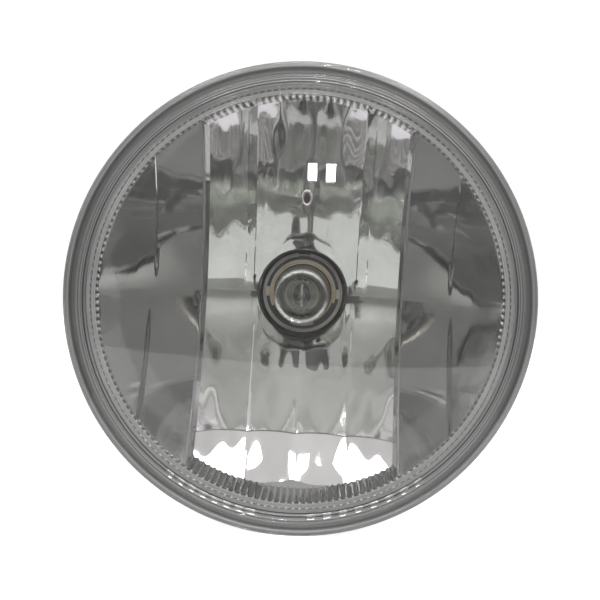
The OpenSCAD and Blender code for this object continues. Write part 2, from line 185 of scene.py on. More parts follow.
def wire(points: list[Vector], radius: float, sides: int = 16) -> bmesh.types.BMesh:
    """A round wire along a line of points.

    Args:
        points: The wire's middle line.
        radius: Its radius.
        sides: Number of sides.

    Returns:
        The closed wire.
    """
    bm = bmesh.new()
    rings = []
    for i, point in enumerate(points):
        ahead = points[min(i + 1, len(points) - 1)] - points[max(i - 1, 0)]
        turn = ahead.normalized().to_track_quat("Z", "Y").to_matrix().to_4x4()
        place = Matrix.Translation(point) @ turn
        made = bmesh.ops.create_circle(
            bm, cap_ends=False, radius=radius, segments=sides, matrix=place
        )
        ring = set(made["verts"])
        rings.append([e for e in bm.edges if e.verts[0] in ring and e.verts[1] in ring])
    for near, far in zip(rings, rings[1:]):
        bmesh.ops.bridge_loops(bm, edges=near + far)
    bmesh.ops.holes_fill(bm, edges=rings[0] + rings[-1])
    bmesh.ops.recalc_face_normals(bm, faces=bm.faces)
    return bm


def piece(
    name: str,
    bm: bmesh.types.BMesh,
    finish: bpy.types.Material,
    body: str,
    replaces: tuple[str, ...] = (),
    crease: float = 32.0,
) -> bpy.types.Object:
    """Makes a finished piece of the lamp from a mesh.

    Args:
        name: The piece's name.
        bm: Its mesh, in place, which is freed.
        finish: Its material.
        body: The CAD body it rides on.
        replaces: CAD nodes it stands for.
        crease: Angle in degrees above which an edge stays sharp.

    Returns:
        The new object.
    """
    limit = math.radians(crease)
    for face in bm.faces:
        face.smooth = True
    for edge in bm.edges:
        whole = len(edge.link_faces) == 2
        edge.smooth = whole and edge.calc_face_angle(0.0) < limit
    mesh = bpy.data.meshes.new(name)
    bm.to_mesh(mesh)
    bm.free()
    mesh.materials.append(finish)
    made = bpy.data.objects.new(name, mesh)
    bpy.context.scene.collection.objects.link(made)
    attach(made, body)
    if replaces:
        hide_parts(*replaces)
    log.info("%s: %d faces", name, len(mesh.polygons))
    return made


# ------------------------------------------------------------------------- finishes


class Tree:
    """Places and links the nodes of one shader tree."""

    def __init__(self, tree: bpy.types.NodeTree, keep: bool = False) -> None:
        """Takes a tree for building.

        Args:
            tree: The shader tree to fill.
            keep: Whether its nodes stay.
        """
        self.tree = tree
        if not keep:
            tree.nodes.clear()

    def add(self, kind: str, **settings: object) -> bpy.types.Node:
        """Adds a node.

        Args:
            kind: The node's type name without its ShaderNode prefix.
            **settings: Attributes to set on it.

        Returns:
            The new node.
        """
        prefix = "" if kind.startswith("Node") else "ShaderNode"
        node = self.tree.nodes.new(prefix + kind)
        for key, value in settings.items():
            setattr(node, key, value)
        return node

    def join(self, source: bpy.types.NodeSocket, target: bpy.types.NodeSocket) -> None:
        """Links two sockets."""
        self.tree.links.new(source, target)

    def maths(self, operation: str, *inputs: object) -> bpy.types.NodeSocket:
        """Adds a Math node.

        Args:
            operation: The node's operation.
            *inputs: A number or a socket for each input.

        Returns:
            The node's output.
        """
        node = self.add("Math", operation=operation)
        for slot_in, value in zip(node.inputs, inputs):
            if isinstance(value, (int, float)):
                slot_in.default_value = value
            else:
                self.join(value, slot_in)
        return node.outputs[0]

    def noise(
        self, place: bpy.types.NodeSocket, scale: float, detail: float = 3.0
    ) -> bpy.types.NodeSocket:
        """Adds a noise texture.

        Args:
            place: The coordinates it reads.
            scale: Its scale.
            detail: Its detail.

        Returns:
            Its value from 0 to 1.
        """
        node = self.add("TexNoise")
        node.inputs["Scale"].default_value = scale
        node.inputs["Detail"].default_value = detail
        self.join(place, node.inputs["Vector"])
        return node.outputs[0]


def surface_group() -> bpy.types.NodeTree:
    """Builds the node group that every finish uses for grain, mottling and dust.

    Returns:
        The group, with inputs for two colours, roughness limits, scale and bump strength.
    """
    group = bpy.data.node_groups.new("surface_detail", "ShaderNodeTree")
    numbers = {
        "Scale": 900.0, "Rough Low": 0.3, "Rough High": 0.5, "Bump": 0.2, "Depth": 0.00002,
        "Dust": 0.0,
    }
    for label in ("Colour A", "Colour B", "Dust Colour"):
        group.interface.new_socket(name=label, in_out="INPUT", socket_type="NodeSocketColor")
    for label, value in numbers.items():
        made = group.interface.new_socket(name=label, in_out="INPUT", socket_type="NodeSocketFloat")
        made.default_value = value
    group.interface.new_socket(name="Colour", in_out="OUTPUT", socket_type="NodeSocketColor")
    group.interface.new_socket(name="Roughness", in_out="OUTPUT", socket_type="NodeSocketFloat")
    group.interface.new_socket(name="Normal", in_out="OUTPUT", socket_type="NodeSocketVector")
    t = Tree(group)
    given = t.add("NodeGroupInput")
    out = t.add("NodeGroupOutput")
    place = t.add("TexCoord").outputs["Object"]
    fine = t.add("TexNoise")
    fine.inputs["Detail"].default_value = 4.0
    t.join(place, fine.inputs["Vector"])
    t.join(given.outputs["Scale"], fine.inputs["Scale"])
    broad = t.noise(place, 70.0, 2.0)
    blend = t.add("Mix", data_type="RGBA")
    halved = t.maths("MULTIPLY", broad, 0.5)
    t.join(t.maths("MULTIPLY_ADD", fine.outputs[0], 0.5, halved), blend.inputs[0])
    t.join(given.outputs["Colour A"], blend.inputs[6])
    t.join(given.outputs["Colour B"], blend.inputs[7])
    normal = t.add("NewGeometry").outputs["Normal"]
    axes = t.add("SeparateXYZ")
    t.join(normal, axes.inputs[0])
    settled = t.maths("MULTIPLY", t.maths("MAXIMUM", axes.outputs[2], 0.0), given.outputs["Dust"])
    settled = t.maths("MULTIPLY", settled, t.maths("ADD", t.noise(place, 260.0, 5.0), 0.3))
    dusty = t.add("Mix", data_type="RGBA")
    t.join(settled, dusty.inputs[0])
    t.join(blend.outputs[2], dusty.inputs[6])
    t.join(given.outputs["Dust Colour"], dusty.inputs[7])
    t.join(dusty.outputs[2], out.inputs["Colour"])
    spread = t.add("MapRange")
    t.join(broad, spread.inputs["Value"])
    t.join(given.outputs["Rough Low"], spread.inputs["To Min"])
    t.join(given.outputs["Rough High"], spread.inputs["To Max"])
    t.join(t.maths("MULTIPLY_ADD", settled, 0.4, spread.outputs[0]), out.inputs["Roughness"])
    bump = t.add("Bump")
    t.join(given.outputs["Bump"], bump.inputs["Strength"])
    t.join(given.outputs["Depth"], bump.inputs["Distance"])
    t.join(fine.outputs[0], bump.inputs["Height"])
    t.join(bump.outputs[0], out.inputs["Normal"])
    return group


SURFACE = surface_group()
# Greys for the sealant seen through the lens's edge: painted shade in the grooves between its
# ridges, full grey on the ridges.
RIM_GROOVE_PAINTED_SHADE = (
    (0.0, 0.1), (0.08, 0.12), (0.13, 0.45), (0.18, 0.95), (0.23, 0.85), (0.28, 0.25), (0.31, 0.12),
    (0.38, 0.14), (0.44, 0.9), (0.49, 0.95), (0.54, 0.42), (0.62, 0.34), (0.70, 0.3), (0.73, 0.12),
    (0.78, 0.3), (0.84, 0.8), (0.88, 0.75), (0.93, 0.4), (1.0, 0.12),
)
DUST: Colour = (0.42, 0.4, 0.37)


@dataclass(frozen=True)
class Finish:
    """An opaque finish: two close colours, a range of roughness and a fine grain."""

    name: str
    colour_a: Colour
    colour_b: Colour
    rough: tuple[float, float] = (0.35, 0.5)
    metallic: float = 0.0
    scale: float = 900.0
    bump: float = 0.15
    depth: float = 0.00002
    dust: float = 0.0
    coat: float = 0.0
    sheen: float = 0.0
    anisotropy: float = 0.0

    def build(self) -> bpy.types.Material:
        """Makes the material.

        Returns:
            A material with this finish.
        """
        made = bpy.data.materials.new(self.name)
        made.use_nodes = True
        t = Tree(made.node_tree)
        out = t.add("OutputMaterial")
        shader = t.add("BsdfPrincipled")
        detail = t.add("Group")
        detail.node_tree = SURFACE
        detail.inputs["Colour A"].default_value = (*self.colour_a, 1.0)
        detail.inputs["Colour B"].default_value = (*self.colour_b, 1.0)
        detail.inputs["Dust Colour"].default_value = (*DUST, 1.0)
        detail.inputs["Scale"].default_value = self.scale
        detail.inputs["Rough Low"].default_value = self.rough[0]
        detail.inputs["Rough High"].default_value = self.rough[1]
        detail.inputs["Bump"].default_value = self.bump
        detail.inputs["Depth"].default_value = self.depth
        detail.inputs["Dust"].default_value = self.dust
        shader.inputs["Metallic"].default_value = self.metallic
        shader.inputs["Coat Weight"].default_value = self.coat
        shader.inputs["Sheen Weight"].default_value = self.sheen
        shader.inputs["Anisotropic"].default_value = self.anisotropy
        t.join(detail.outputs["Colour"], shader.inputs["Base Color"])
        t.join(detail.outputs["Roughness"], shader.inputs["Roughness"])
        t.join(detail.outputs["Normal"], shader.inputs["Normal"])
        t.join(shader.outputs[0], out.inputs["Surface"])
        return made


@dataclass(frozen=True)
class PaintedRingShadeFinish(Finish):
    """A finish with painted shade: its grey darkens in rings about the lamp's axis, and evenly
    behind painted_shade_from_y.
    """

    inner_r: float = 50.5 * MM
    outer_r: float = 57.2 * MM
    rings: tuple[tuple[float, float], ...] = ((0.0, 0.5), (1.0, 0.5))
    painted_shade_from_y: float = 1.0
    behind: float = 1.0

    def build(self) -> bpy.types.Material:
        """Makes the material.

        Returns:
            The plain finish with its colour darkened by the rings, or evenly behind
            painted_shade_from_y: painted shade.
        """
        made = super().build()
        t = Tree(made.node_tree, keep=True)
        shader = next(n for n in t.tree.nodes if n.type == "BSDF_PRINCIPLED")
        plain = shader.inputs["Base Color"].links[0].from_socket
        # Painted shade: the colour is darkened by distance from the lamp's axis, or to one flat
        # level behind painted_shade_from_y.
        flat = t.add("VectorMath", operation="MULTIPLY")
        t.join(t.add("TexCoord").outputs["Object"], flat.inputs[0])
        flat.inputs[1].default_value = (1.0, 0.0, 1.0)
        reach = t.add("VectorMath", operation="LENGTH")
        t.join(flat.outputs[0], reach.inputs[0])
        span = t.add("MapRange")
        t.join(reach.outputs["Value"], span.inputs["Value"])
        span.inputs["From Min"].default_value = self.inner_r
        span.inputs["From Max"].default_value = self.outer_r
        ramp = t.add("ValToRGB")
        while len(ramp.color_ramp.elements) < len(self.rings):
            ramp.color_ramp.elements.new(0.5)
        for stop, (where, level) in zip(ramp.color_ramp.elements, self.rings):
            stop.position = where
            stop.color = (level, level, level, 1.0)
        t.join(span.outputs[0], ramp.inputs[0])
        split = t.add("SeparateXYZ")
        t.join(t.add("TexCoord").outputs["Object"], split.inputs[0])
        rear = t.add("Mix", data_type="RGBA")
        t.join(t.maths("GREATER_THAN", split.outputs[1], self.painted_shade_from_y), rear.inputs[0])
        t.join(ramp.outputs[0], rear.inputs[6])
        rear.inputs[7].default_value = (self.behind, self.behind, self.behind, 1.0)
        blend = t.add("Mix", data_type="RGBA", blend_type="MULTIPLY")
        blend.inputs[0].default_value = 1.0
        t.join(plain, blend.inputs[6])
        t.join(rear.outputs[2], blend.inputs[7])
        t.join(blend.outputs[2], shader.inputs["Base Color"])
        return made


@dataclass(frozen=True)
class FlutePaintedShadeFinish(Finish):
    """A metallised finish with painted shade in the valleys between the flutes of the side wall."""

    flutes: int = 190
    # valley is the level of the painted shade between the flutes, as a share of the plain colour.
    valley: float = 0.12

    def build(self) -> bpy.types.Material:
        """Makes the material.

        Returns:
            The plain finish, darkened in stripes round the lamp's axis: painted shade in the
            flutes' valleys.
        """
        made = super().build()
        t = Tree(made.node_tree, keep=True)
        shader = next(n for n in t.tree.nodes if n.type == "BSDF_PRINCIPLED")
        plain = shader.inputs["Base Color"].links[0].from_socket
        split = t.add("SeparateXYZ")
        t.join(t.add("TexCoord").outputs["Object"], split.inputs[0])
        turn = t.maths("ARCTAN2", split.outputs[2], split.outputs[0])
        ridge = t.maths("ABSOLUTE", t.maths("SINE", t.maths("MULTIPLY", turn, self.flutes / 2)))
        level = t.add("MapRange")
        t.join(ridge, level.inputs["Value"])
        level.inputs["From Min"].default_value = 0.25
        level.inputs["From Max"].default_value = 0.8
        level.inputs["To Min"].default_value = 1.0
        level.inputs["To Max"].default_value = self.valley
        blend = t.add("Mix", data_type="RGBA", blend_type="MULTIPLY")
        blend.inputs[0].default_value = 1.0
        t.join(plain, blend.inputs[6])
        t.join(level.outputs[0], blend.inputs[7])
        t.join(blend.outputs[2], shader.inputs["Base Color"])
        return made


@dataclass(frozen=True)
class Glass:
    """Clear glass that lets lamps shine through it."""

    name: str
    tint: Colour
    index: float = 1.5
    haze: float = 0.02
    waviness: float = 0.03
    shade: Colour = (0.95, 0.95, 0.94)

    def build(self) -> bpy.types.Material:
        """Makes the material.

        Returns:
            A glass that is plain transparent to shadow rays.
        """
        made = bpy.data.materials.new(self.name)
        made.use_nodes = True
        t = Tree(made.node_tree)
        out = t.add("OutputMaterial")
        shader = t.add("BsdfPrincipled")
        shader.inputs["Transmission Weight"].default_value = 1.0
        shader.inputs["IOR"].default_value = self.index
        shader.inputs["Base Color"].default_value = (*self.tint, 1.0)
        place = t.add("TexCoord").outputs["Object"]
        smear = t.noise(place, 55.0, 4.0)
        t.join(t.maths("MULTIPLY", smear, self.haze), shader.inputs["Roughness"])
        bump = t.add("Bump")
        bump.inputs["Strength"].default_value = self.waviness
        bump.inputs["Distance"].default_value = 0.0004
        t.join(t.noise(place, 120.0, 1.0), bump.inputs["Height"])
        t.join(bump.outputs[0], shader.inputs["Normal"])
        clear = t.add("BsdfTransparent")
        clear.inputs[0].default_value = (*self.shade, 1.0)
        mix = t.add("MixShader")
        t.join(t.add("LightPath").outputs["Is Shadow Ray"], mix.inputs[0])
        t.join(shader.outputs[0], mix.inputs[1])
        t.join(clear.outputs[0], mix.inputs[2])
        t.join(mix.outputs[0], out.inputs["Surface"])
        return made


# --------------------------------------------------------------------------- layout


@dataclass(frozen=True)
class Layout:
    """Driving places and sizes of the lamp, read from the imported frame, in metres."""

    rim_r: float
    flange_front: float
    lens_back: float
    dome_top: float
    focus: float
    base_front: float
    glass_r: float
    glass_tip: float
    glass_end: float
    rim_w: float = 7.55 * MM
    hole_r: float = 11.7 * MM

    @property
    def bowl_r(self) -> float:
        """Inner radius of the bowl's side wall."""
        return self.rim_r - self.rim_w

    @classmethod
    def from_frame(cls) -> "Layout":
        """Reads the layout from the CAD nodes' boxes.

        Returns:
            The lamp's layout.
        """
        coil_low, coil_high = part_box("filament")
        glass_low, glass_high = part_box("bulb_glass")
        return cls(
            rim_r=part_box("reflector")[1].x,
            flange_front=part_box("reflector")[0].y,
            lens_back=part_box("lens")[1].y,
            dome_top=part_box("lens")[0].y,
            focus=(coil_low.y + coil_high.y) / 2,
            base_front=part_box("bulb_base")[0].y,
            glass_r=glass_high.x,
            glass_tip=glass_low.y,
            glass_end=glass_high.y,
        )


# ----------------------------------------------------------------------------- lens


@dataclass
class Lens:
    """The clear domed lens with its stepped edge."""

    at: Layout
    thickness: float = 3.0 * MM
    edge_t: float = 2.4 * MM
    step_h: float = 0.9 * MM
    ledge_w: float = 3.6 * MM
    bead_r: float = 0.52 * MM
    bead_gap: float = 0.85 * MM
    corner_r: float = 0.3 * MM
    outside_r: float = 0.75 * MM
    back_r: float = 0.2 * MM
    seat_w: float = 0.6 * MM
    seat_h: float = 0.3 * MM
    dome_steps: int = 48
    bar_count: int = 8
    bar_size: tuple[float, float, float] = (2.1 * MM, 0.8 * MM, 1.3 * MM)
    bar_r: float = 0.2 * MM
    bar_sink: float = 0.12 * MM
    bar_rows: tuple[tuple[float, float], ...] = ((-112.0, 3.4), (-69.0, 4.3))
    bond_in: float = 1.3 * MM
    bond_out: float = 0.35 * MM
    ridges: tuple[tuple[float, float, float], ...] = (
        (51.7, 0.55, 0.46), (53.65, 0.32, 0.44), (54.5, 0.4, 0.2), (56.2, 0.5, 0.46),
    )

    def profile(self) -> Profile:
        """Outline of the lens.

        Returns:
            Closed outline, as (radius, y).
        """
        rim, back = self.at.rim_r, self.at.lens_back
        ledge = back - self.edge_t
        valley = ledge - self.step_h
        step = rim - self.ledge_w
        bead = step - self.bead_gap - self.bead_r
        edge = bead - self.bead_r - 0.15 * MM
        rise = valley - self.at.dome_top
        ball = (edge * edge + rise * rise) / (2 * rise)
        inner_edge = self.at.bowl_r - 0.5 * MM
        steps = self.dome_steps
        inner_ball = ball - self.thickness
        top_inner = self.at.dome_top + self.thickness
        dome = [
            (r, self.at.dome_top + ball - math.sqrt(ball**2 - r**2))
            for r in (edge * i / steps for i in range(steps + 1))
        ]
        under = [
            (r, top_inner + inner_ball - math.sqrt(inner_ball**2 - r**2))
            for r in (inner_edge * i / steps for i in range(steps, -1, -1))
        ]
        corner, outside, back_r = self.corner_r, self.outside_r, self.back_r
        outline = dome
        outline += [(edge + 0.06 * MM, valley + 0.1 * MM)]
        outline += arc((bead, valley), self.bead_r, -180, 0, 14)
        outline += [(step - corner, valley)]
        outline += arc((step, valley + corner * 0.4), corner, -125, 0, 8)
        outline += arc((step + 2 * corner, ledge - corner), corner, 180, 90, 5)
        outline += arc((rim - outside, ledge + outside), outside, -90, 0, 8)
        outline += arc((rim - back_r, back - back_r), back_r, 0, 90, 3)
        outline += [(self.at.bowl_r + self.seat_w, back), (self.at.bowl_r, back - self.seat_h)]
        return outline + under

    def bars(self) -> list[bmesh.types.BMesh]:
        """Plain low bars in two short rows on the bead at the foot of the lens.

        Returns:
            One mesh for each bar.
        """
        made = []
        ring = self.at.rim_r - self.ledge_w - self.bead_gap - self.bead_r
        front = self.at.lens_back - self.edge_t - self.step_h - self.bead_r
        for middle, pitch in self.bar_rows:
            for i in range(self.bar_count):
                turn = math.radians(middle + (i - (self.bar_count - 1) / 2) * pitch)
                spot = Vector((0.0, front + self.bar_sink, -ring))
                bar = soft_box(Vector(self.bar_size), spot, self.bar_r)
                around = Matrix.Rotation(-turn - math.pi / 2, 3, "Y")
                bmesh.ops.rotate(bar, cent=ORIGIN, matrix=around, verts=bar.verts)
                made.append(bar)
        return made

    def seat(self) -> bmesh.types.BMesh:
        """Builds the sealant with the ridges that the lens's edge pressed into it.

        Returns:
            The closed ring.
        """
        back = self.at.flange_front
        inner, outer = self.at.bowl_r + self.bond_in, self.at.rim_r - self.bond_out
        outline = [(inner, back), (inner, back - 0.2 * MM)]
        for middle, half, height in self.ridges:
            r = middle * MM
            outline += [(r - half * MM, back - 0.06 * MM)]
            outline += [
                (r - half * MM * math.cos(math.radians(a)),
                 back - (0.08 + height * math.sin(math.radians(a))) * MM)
                for a in range(15, 180, 15)
            ]
            outline += [(r + half * MM, back - 0.06 * MM)]
        outline += [(outer, back - 0.1 * MM), (outer, back)]
        return lathe(outline, closed=True, steps=256)

    def build(self, glass: bpy.types.Material, bond: bpy.types.Material) -> None:
        """Makes the lens and its sealant in place of their CAD nodes.

        Args:
            glass: The lens's finish.
            bond: The sealant's finish, with painted shade in its grooves.
        """
        piece("sealant_ridges", self.seat(), bond, "lamp", ("lens_sealant",))
        turned = lathe(self.profile(), closed=False, steps=256)
        piece("clear_lens", turned, glass, "lamp", ("lens",), crease=50.0)
        piece("lens_edge_pips", join(self.bars()), glass, "lamp")


# --------------------------------------------------------------------------- mirror


@dataclass(frozen=True)
class Column:
    """One upright strip of the mirror, in two facets above one another.

    The inner facet is a parabola whose focal length grows away from the line x = low_x. The
    outer facet starts at a curved border that rises away from the same line.
    """

    half: Half
    x0: float
    x1: float
    top: float
    focal: float
    border: float
    outer_focal: float
    kick: float = 0.0
    low_x: float = 0.0
    bow: float = 0.08
    rise: float = 0.155
    wide_focal: float = 24.5
    sink: float = 0.0
    step: float = 0.0
    step_w: float = 0.12
    step_row: float = 0.75
    ripple: float = 0.0
    ripple_x: float = 6.3
    ripple_z: float = 23.0
    near_z: float = 14.0
    far_z: float = 26.0
    spread_w: float = 13.3
    back: float = 0.0
    yaw: float = 0.0
    across: int = 20
    rows: int = 72

    def spread(self, x: float) -> float:
        """How far a place across lies from the strip's lowest line, squared."""
        return ((x - self.low_x) / self.spread_w) ** 2

    def border_at(self, x: float) -> float:
        """Distance of the facets' border above or below the axis.

        Args:
            x: Place across, in millimetres.

        Returns:
            The border's |z| there, in millimetres.
        """
        return self.border * (1.0 + self.rise * self.spread(x))

    def row_z(self, x: float, inner: float, outer: float, up: float) -> float:
        """Distance of a row from the axis, with two rows kept for a step at the border.

        Args:
            x: Place across, in millimetres.
            inner: Lowest |z| of the strip.
            outer: Highest |z| of the strip.
            up: Part of the way from the inner to the outer end.

        Returns:
            The row's |z|, in millimetres.
        """
        border, share = self.border_at(x), self.step_row
        if not (self.step and inner < border < outer - 1.0):
            return inner + (outer - inner) * up
        if up <= share:
            return inner + (border - inner) * up / share
        lost = share + 1.0 / self.rows
        return border + self.step_w + (outer - border - self.step_w) * (up - lost) / (1.0 - lost)

    def depth(self, x: float, z: float) -> float:
        """Place of the strip along Y.

        Args:
            x: Place across, in millimetres.
            z: Place up, in millimetres.

        Returns:
            The strip's y there, in millimetres.
        """
        up = abs(z)
        focal = self.focal * (1.0 + self.bow * self.spread(x))
        border = self.border_at(x)
        inner = min(up, border)
        y = self.top - x * x / (4 * self.wide_focal) - inner * inner / (4 * focal)
        if up > border + 0.01:
            y -= (up * up - border * border) / (4 * self.outer_focal)
            y -= self.kick * (up - border) + self.step
        near, far = ease(up / self.near_z), ease(up / self.far_z)
        lean = math.tan(math.radians(self.yaw)) * (x - (self.x0 + self.x1) / 2)
        wave = math.sin(math.tau * x / self.ripple_x) * math.sin(math.tau * up / self.ripple_z)
        return y + near * (self.back + lean + far * self.ripple * wave) - far * self.sink


@dataclass
class Mirror:
    """The metallised inside of the bowl: upright strips and the fluted side wall."""

    at: Layout
    columns: list[Column] = field(default_factory=list)
    flutes: int = 190
    per_flute: int = 6
    flute_depth: float = 0.5 * MM
    flute_length: float = 11.0 * MM
    lip_w: float = 0.85 * MM
    lip_t: float = 0.1 * MM
    wall_in: float = 0.35 * MM
    hole_front: float = 47.3 * MM
    hole_rear: float = 49.9 * MM
    vent_z: float = 25.5 * MM
    vent_w: float = 2.3 * MM
    vent_h: float = 3.6 * MM
    skin: float = 0.12 * MM
    wall_gap: float = 0.04 * MM

    def __post_init__(self) -> None:
        """Lays out the strips, in millimetres from the lamp's axis."""
        up, low = Half.UPPER, Half.LOWER
        deep = {"top": 49.5, "focal": 19.9, "border": 26.0, "outer_focal": 19.5, "kick": 0.04,
                "ripple": 0.035}
        foot = {"top": 49.5, "focal": 25.4, "border": 36.0, "outer_focal": 29.0, "sink": 2.2,
                "step": 1.7, "rise": 0.05, "ripple": 0.035}
        side = {"top": 43.1, "focal": 15.0, "border": 60.0, "outer_focal": 15.0, "bow": 0.0,
                "wide_focal": 14.9}
        self.columns = [
            Column(up, -49.3, -37.1, back=-0.4, yaw=0.8, across=22, **side),
            Column(up, -36.9, -26.3, back=-0.2, yaw=-0.6, **side),
            Column(up, -25.5, -15.7, low_x=-15.5, across=16, **deep),
            Column(up, -15.5, -13.4, low_x=-14.4, back=-0.25, yaw=3.0, across=4, **deep),
            Column(up, -13.2, -6.1, across=12, **deep),
            Column(up, -5.9, 8.3, across=28, **deep),
            Column(up, 8.5, 14.3, across=10, **deep),
            Column(up, 14.5, 17.0, low_x=16.0, back=-0.25, yaw=-3.0, across=4, **deep),
            Column(up, 17.2, 25.5, low_x=16.5, across=14, **deep),
            Column(up, 26.3, 37.4, back=-0.2, yaw=0.6, **side),
            Column(up, 37.6, 49.3, back=-0.4, yaw=-0.8, across=22, **side),
            Column(low, -49.3, -38.1, back=-0.5, yaw=1.6, across=18, **side),
            Column(low, -37.9, -26.3, back=-0.4, yaw=-1.6, across=20, **side),
            Column(low, -25.5, -12.7, low_x=-18.0, across=20, **foot),
            Column(low, -12.4, -0.15, low_x=-7.0, yaw=0.8, across=24, **foot),
            Column(low, 0.15, 13.6, low_x=7.0, yaw=-0.8, across=26, **foot),
            Column(low, 13.9, 25.5, low_x=18.0, across=18, **foot),
            Column(low, 26.3, 37.9, back=-0.4, yaw=1.6, across=20, **side),
            Column(low, 38.1, 49.3, back=-0.5, yaw=-1.6, across=18, **side),
        ]

    def inner_z(self, x: float) -> float:
        """Lowest |z| of the mirror at a place across: the hole's edge, or the axis."""
        hole = self.at.hole_r / MM
        return math.sqrt(max(hole * hole - x * x, 0.0))

    def outer_z(self, x: float) -> float:
        """Highest |z| of the mirror at a place across, where it meets the side wall."""
        rim = self.at.bowl_r / MM - 0.14
        return math.sqrt(max(rim * rim - x * x, 0.0))

    def strip(self, bm: bmesh.types.BMesh, column: Column) -> list[bmesh.types.BMVert]:
        """Adds one strip to the mesh.

        Args:
            bm: The mirror's mesh.
            column: The strip.

        Returns:
            The strip's vertices.
        """
        hole = self.at.hole_r / MM
        made = bmesh.ops.create_grid(bm, x_segments=column.across, y_segments=column.rows,
                                      size=0.5)
        for vert in made["verts"]:
            across, up = vert.co.x + 0.5, vert.co.y + 0.5
            x = column.x0 + (column.x1 - column.x0) * across
            if abs(abs(x) - hole) < (column.x1 - column.x0) / column.across / 2:
                x = math.copysign(hole, x)
            inner, outer = self.inner_z(x), self.outer_z(x)
            z = column.half.value * column.row_z(x, inner, outer, up)
            vert.co = (x * MM, column.depth(x, z) * MM, z * MM)
        return made["verts"]

    def side_edges(
        self, verts: list[bmesh.types.BMVert], x: float
    ) -> list[bmesh.types.BMEdge]:
        """Edges of a strip along one of its sides.

        Args:
            verts: The strip's vertices.
            x: Place of the side, in millimetres.

        Returns:
            The side's open edges.
        """
        row = {v for v in verts if abs(v.co.x / MM - x) < 0.01}
        found = {e for v in row for e in v.link_edges if e.other_vert(v) in row}
        return [e for e in found if e.is_boundary]

    def face_mesh(self) -> bmesh.types.BMesh:
        """Builds all strips and the steps between them.

        Returns:
            The mirror's front surface.
        """
        bm = bmesh.new()
        strips = [(column, self.strip(bm, column)) for column in self.columns]
        for (left, left_verts), (right, right_verts) in zip(strips, strips[1:]):
            if left.half is right.half:
                near = self.side_edges(left_verts, left.x1)
                far = self.side_edges(right_verts, right.x0)
                bmesh.ops.bridge_loops(bm, edges=near + far)
        self.open_vent(bm)
        bmesh.ops.recalc_face_normals(bm, faces=bm.faces)
        facing = sum(f.normal.y * f.calc_area() for f in bm.faces)
        if facing > 0.0:
            bmesh.ops.reverse_faces(bm, faces=bm.faces)
        return bm

    def open_vent(self, bm: bmesh.types.BMesh) -> None:
        """Opens the mirror where the breather's slot comes through.

        Args:
            bm: The mirror's mesh.
        """
        def inside(face: bmesh.types.BMFace) -> bool:
            spot = face.calc_center_median()
            across = spot.x / (self.vent_w / 2)
            return across**2 + ((spot.z - self.vent_z) / (self.vent_h / 2)) ** 2 < 1.0

        bmesh.ops.delete(bm, geom=[f for f in bm.faces if inside(f)], context="FACES")

    def vent_rim(self) -> bmesh.types.BMesh:
        """Builds the raised oval rim round the breather's slot.

        Returns:
            The closed rim, lying on the sloping mirror.
        """
        rim = lathe(arc((1.0, 0.0), 0.28, 0, 360, 12)[:-1], closed=True, steps=40)
        bmesh.ops.scale(rim, vec=(self.vent_w / 2, MM, self.vent_h / 2), verts=rim.verts)
        middle = next(c for c in self.columns if c.half is Half.UPPER and c.x0 < 0.0 < c.x1)
        for vert in rim.verts:
            vert.co.z += self.vent_z
            vert.co.y += middle.depth(vert.co.x / MM, vert.co.z / MM) * MM
        return rim

    def mouth_y(self, x: float, z: float) -> float:
        """How far back the side wall reaches at a place round the bowl.

        Args:
            x: Place across, in metres.
            z: Place up, in metres.

        Returns:
            The wall's rear end, along Y.
        """
        half = Half.UPPER if z >= 0.0 else Half.LOWER
        for column in self.columns:
            if column.half is half and column.x0 - 0.5 <= x / MM <= column.x1 + 0.5:
                return column.depth(x / MM, z / MM) * MM + self.wall_in
        return 2.0 * MM

    def wall_mesh(self) -> bmesh.types.BMesh:
        """Builds the fluted side wall with its front lip.

        The flutes run the wall's whole depth below the axis and fade out above it.

        Returns:
            The wall, open at its rear edge behind the mirror.
        """
        bm = bmesh.new()
        outside = self.at.bowl_r - self.skin - self.wall_gap
        front = self.at.flange_front
        bmesh.ops.create_circle(
            bm, cap_ends=False, radius=outside, segments=self.flutes * self.per_flute,
            matrix=Matrix.Rotation(math.pi / 2, 4, "X"),
        )
        loop = list(bm.edges)
        rings = [list(bm.verts)]
        edges = loop
        for _ in range(2):
            grown = bmesh.ops.extrude_edge_only(bm, edges=edges)["geom"]
            rings.append([g for g in grown if isinstance(g, bmesh.types.BMVert)])
            edges = [g for g in grown if isinstance(g, bmesh.types.BMEdge)]
            edges = [e for e in edges if all(v in set(rings[-1]) for v in e.verts)]
        for level, ring in enumerate(rings):
            for vert in ring:
                turn = math.atan2(vert.co.z, vert.co.x)
                mouth = self.mouth_y(vert.co.x, vert.co.z)
                middle = min(front + self.flute_length, (front + mouth) / 2)
                vert.co.y = (front + self.wall_in, middle, mouth)[level]
                fade = 0.0 if level == 2 and vert.co.z > 0.0 else 1.0
                ridge = 1.0 - abs(math.sin(turn * self.flutes / 2))
                inward = 1.0 - fade * self.flute_depth * ridge / outside
                vert.co.x *= inward
                vert.co.z *= inward
        lip = bmesh.ops.extrude_edge_only(bm, edges=loop)["geom"]
        for vert in (g for g in lip if isinstance(g, bmesh.types.BMVert)):
            flat = Vector((vert.co.x, 0.0, vert.co.z)).normalized()
            lip_y = Vector((0.0, front - self.lip_t, 0.0))
            vert.co = flat * (self.at.bowl_r + self.lip_w) + lip_y
        bmesh.ops.recalc_face_normals(bm, faces=bm.faces)
        inward_facing = sum(
            -(f.normal.x * f.calc_center_median().x + f.normal.z * f.calc_center_median().z)
            for f in bm.faces
        )
        if inward_facing < 0.0:
            bmesh.ops.reverse_faces(bm, faces=bm.faces)
        return bm

